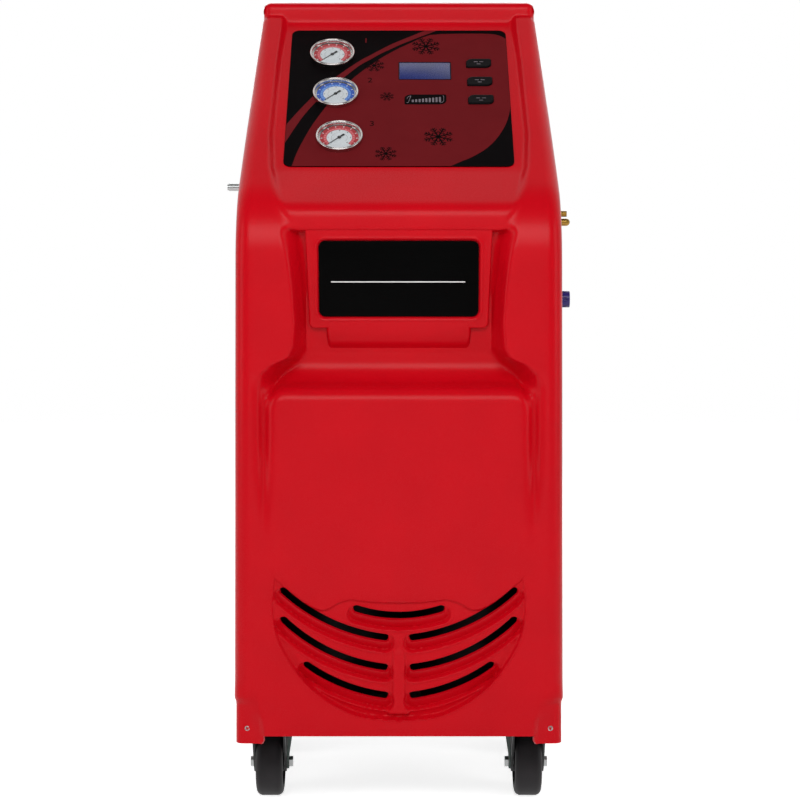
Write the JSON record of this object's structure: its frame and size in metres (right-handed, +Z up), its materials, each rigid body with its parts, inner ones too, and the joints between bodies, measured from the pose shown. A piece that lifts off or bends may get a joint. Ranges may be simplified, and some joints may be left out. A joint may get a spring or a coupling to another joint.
{
  "type": "refrigerant recovery machine",
  "caption": "Wheeled refrigerant recovery machine: red moulded casing, sloping gauge panel with display and keys, recessed sign, louvred air intake, casters.",
  "frame": {"origin": "on the floor under the middle of the machine", "axes": "+X to the right as seen from the front, +Y to the back, +Z up; the sign and air intake face -Y"},
  "size_m": [0.512, 0.56, 1.21],
  "materials": {
    "casing_plastic": "moulded red plastic, fine orange-peel gloss",
    "panel_print": "printed polycarbonate overlay, satin",
    "sign_black": "black acrylic plate, gloss",
    "powder_coat": "black powder-coated sheet steel, fine texture",
    "zinc_plate": "bright zinc plated steel",
    "fork_black": "black stamped steel, semi-gloss",
    "lever_grey": "grey-green cast lever, satin",
    "tyre_rubber": "black moulded rubber, satin",
    "chrome_bezel": "polished chrome",
    "dial_white": "printed dial, matt",
    "needle_black": "black painted pointer",
    "lens_clear": "clear gauge lens",
    "display_glass": "blue display window, gloss",
    "key_black": "black key caps, satin",
    "board_green": "green circuit board",
    "brass_fitting": "turned brass",
    "knob_blue": "moulded blue knob, satin",
    "aluminium_part": "cast and extruded aluminium",
    "black_plastic": "black moulded plastic",
    "compressor_paint": "black enamel on drawn steel",
    "tank_paint": "grey enamel on welded steel",
    "copper_pipe": "drawn copper, satin"
  },
  "bodies": {
    "housing": {"base_pan": "powder_coat", "casing_screws": "zinc_plate", "chassis_posts": "zinc_plate", "condenser": "aluminium_part", "control_board": "board_green", "control_panel": "panel_print", "display_module": "black_plastic", "display_window": "display_glass", "drain_valve": "brass_fitting", "fan_frame": "black_plastic", "filter_drier": "copper_pipe", "front_shell": "casing_plastic", "instrument_shelf": "zinc_plate", "left_caster_plate": "zinc_plate", "load_cell": "aluminium_part", "lower_gauge_case": "chrome_bezel", "lower_gauge_dial": "dial_white", "lower_gauge_lens": "lens_clear", "middle_gauge_case": "chrome_bezel", "middle_gauge_dial": "dial_white", "middle_gauge_lens": "lens_clear", "pipework": "copper_pipe", "power_entry": "black_plastic", "push_handle": "powder_coat", "rear_axles": "zinc_plate", "rear_caster_brackets": "fork_black", "rear_cover": "powder_coat", "recovery_compressor": "compressor_paint", "refrigerant_tank": "tank_paint", "right_caster_plate": "zinc_plate", "scale_platform": "zinc_plate", "service_port": "zinc_plate", "service_valve": "brass_fitting", "sign_plate": "sign_black", "tank_valve": "brass_fitting", "upper_gauge_case": "chrome_bezel", "upper_gauge_dial": "dial_white", "upper_gauge_lens": "lens_clear", "vacuum_pump": "aluminium_part", "valve_manifold": "aluminium_part"},
    "left_caster": {"left_caster_fork": "fork_black", "left_front_axle": "zinc_plate"},
    "left_wheel": {"left_front_wheel": "tyre_rubber"},
    "left_pedal": {"left_brake_pedal": "lever_grey"},
    "left_back_wheel": {"left_rear_wheel": "tyre_rubber"},
    "right_caster": {"right_caster_fork": "fork_black", "right_front_axle": "zinc_plate"},
    "right_wheel": {"right_front_wheel": "tyre_rubber"},
    "right_pedal": {"right_brake_pedal": "lever_grey"},
    "right_back_wheel": {"right_rear_wheel": "tyre_rubber"},
    "upper_needle": {"upper_gauge_needle": "needle_black"},
    "upper_key": {"upper_button": "key_black"},
    "middle_needle": {"middle_gauge_needle": "needle_black"},
    "middle_key": {"middle_button": "key_black"},
    "lower_needle": {"lower_gauge_needle": "needle_black"},
    "lower_key": {"lower_button": "key_black"},
    "knob": {"valve_knob": "knob_blue"},
    "rocker": {"power_switch": "key_black"},
    "fan": {"fan_rotor": "black_plastic"}
  },
  "joints": [
    {"name": "left_caster_swivel", "type": "hinge", "parent": "housing", "child": "left_caster", "pos_m": [-0.193, -0.155, 0.112], "axis": [0, 0, 1], "continuous": true},
    {"name": "left_front_wheel_spin", "type": "hinge", "parent": "left_caster", "child": "left_wheel", "pos_m": [-0.193, -0.125, 0.05], "axis": [1, 0, 0], "continuous": true},
    {"name": "left_brake_press", "type": "hinge", "parent": "left_caster", "child": "left_pedal", "pos_m": [-0.193, -0.125, 0.05], "axis": [1, 0, 0], "range_deg": [-20, 0]},
    {"name": "left_rear_wheel_spin", "type": "hinge", "parent": "housing", "child": "left_back_wheel", "pos_m": [-0.2, 0.13, 0.05], "axis": [1, 0, 0], "continuous": true},
    {"name": "right_caster_swivel", "type": "hinge", "parent": "housing", "child": "right_caster", "pos_m": [0.193, -0.155, 0.112], "axis": [0, 0, 1], "continuous": true},
    {"name": "right_front_wheel_spin", "type": "hinge", "parent": "right_caster", "child": "right_wheel", "pos_m": [0.193, -0.125, 0.05], "axis": [1, 0, 0], "continuous": true},
    {"name": "right_brake_press", "type": "hinge", "parent": "right_caster", "child": "right_pedal", "pos_m": [0.193, -0.125, 0.05], "axis": [1, 0, 0], "range_deg": [-20, 0]},
    {"name": "right_rear_wheel_spin", "type": "hinge", "parent": "housing", "child": "right_back_wheel", "pos_m": [0.2, 0.13, 0.05], "axis": [1, 0, 0], "continuous": true},
    {"name": "upper_needle_sweep", "type": "hinge", "parent": "housing", "child": "upper_needle", "pos_m": [-0.103, 0.03404, 1.12061], "axis": [0, 0.6587, -0.7524], "range_deg": [0, 270], "stiffness_Nm_per_rad": 0.002},
    {"name": "middle_needle_sweep", "type": "hinge", "parent": "housing", "child": "middle_needle", "pos_m": [-0.0955, -0.04233, 1.05375], "axis": [0, 0.6587, -0.7524], "range_deg": [0, 270], "stiffness_Nm_per_rad": 0.002},
    {"name": "lower_needle_sweep", "type": "hinge", "parent": "housing", "child": "lower_needle", "pos_m": [-0.0875, -0.12277, 0.98334], "axis": [0, 0.6587, -0.7524], "range_deg": [0, 270], "stiffness_Nm_per_rad": 0.002},
    {"name": "upper_key_press", "type": "slide", "parent": "housing", "child": "upper_key", "axis": [0, 0.6587, -0.7524], "range_m": [0, 0.002], "stiffness_N_per_m": 600},
    {"name": "middle_key_press", "type": "slide", "parent": "housing", "child": "middle_key", "axis": [0, 0.6587, -0.7524], "range_m": [0, 0.002], "stiffness_N_per_m": 600},
    {"name": "lower_key_press", "type": "slide", "parent": "housing", "child": "lower_key", "axis": [0, 0.6587, -0.7524], "range_m": [0, 0.002], "stiffness_N_per_m": 600},
    {"name": "valve_knob_turn", "type": "hinge", "parent": "housing", "child": "knob", "pos_m": [0.24, -0.08, 0.745], "axis": [1, 0, 0], "range_deg": [0, 90]},
    {"name": "power_rocker", "type": "hinge", "parent": "housing", "child": "rocker", "pos_m": [-0.12, 0.23, 0.252], "axis": [1, 0, 0], "range_deg": [-14, 0]},
    {"name": "fan_spin", "type": "hinge", "parent": "housing", "child": "fan", "pos_m": [0, 0.2, 0.745], "axis": [0, 1, 0], "continuous": true}
  ]
}
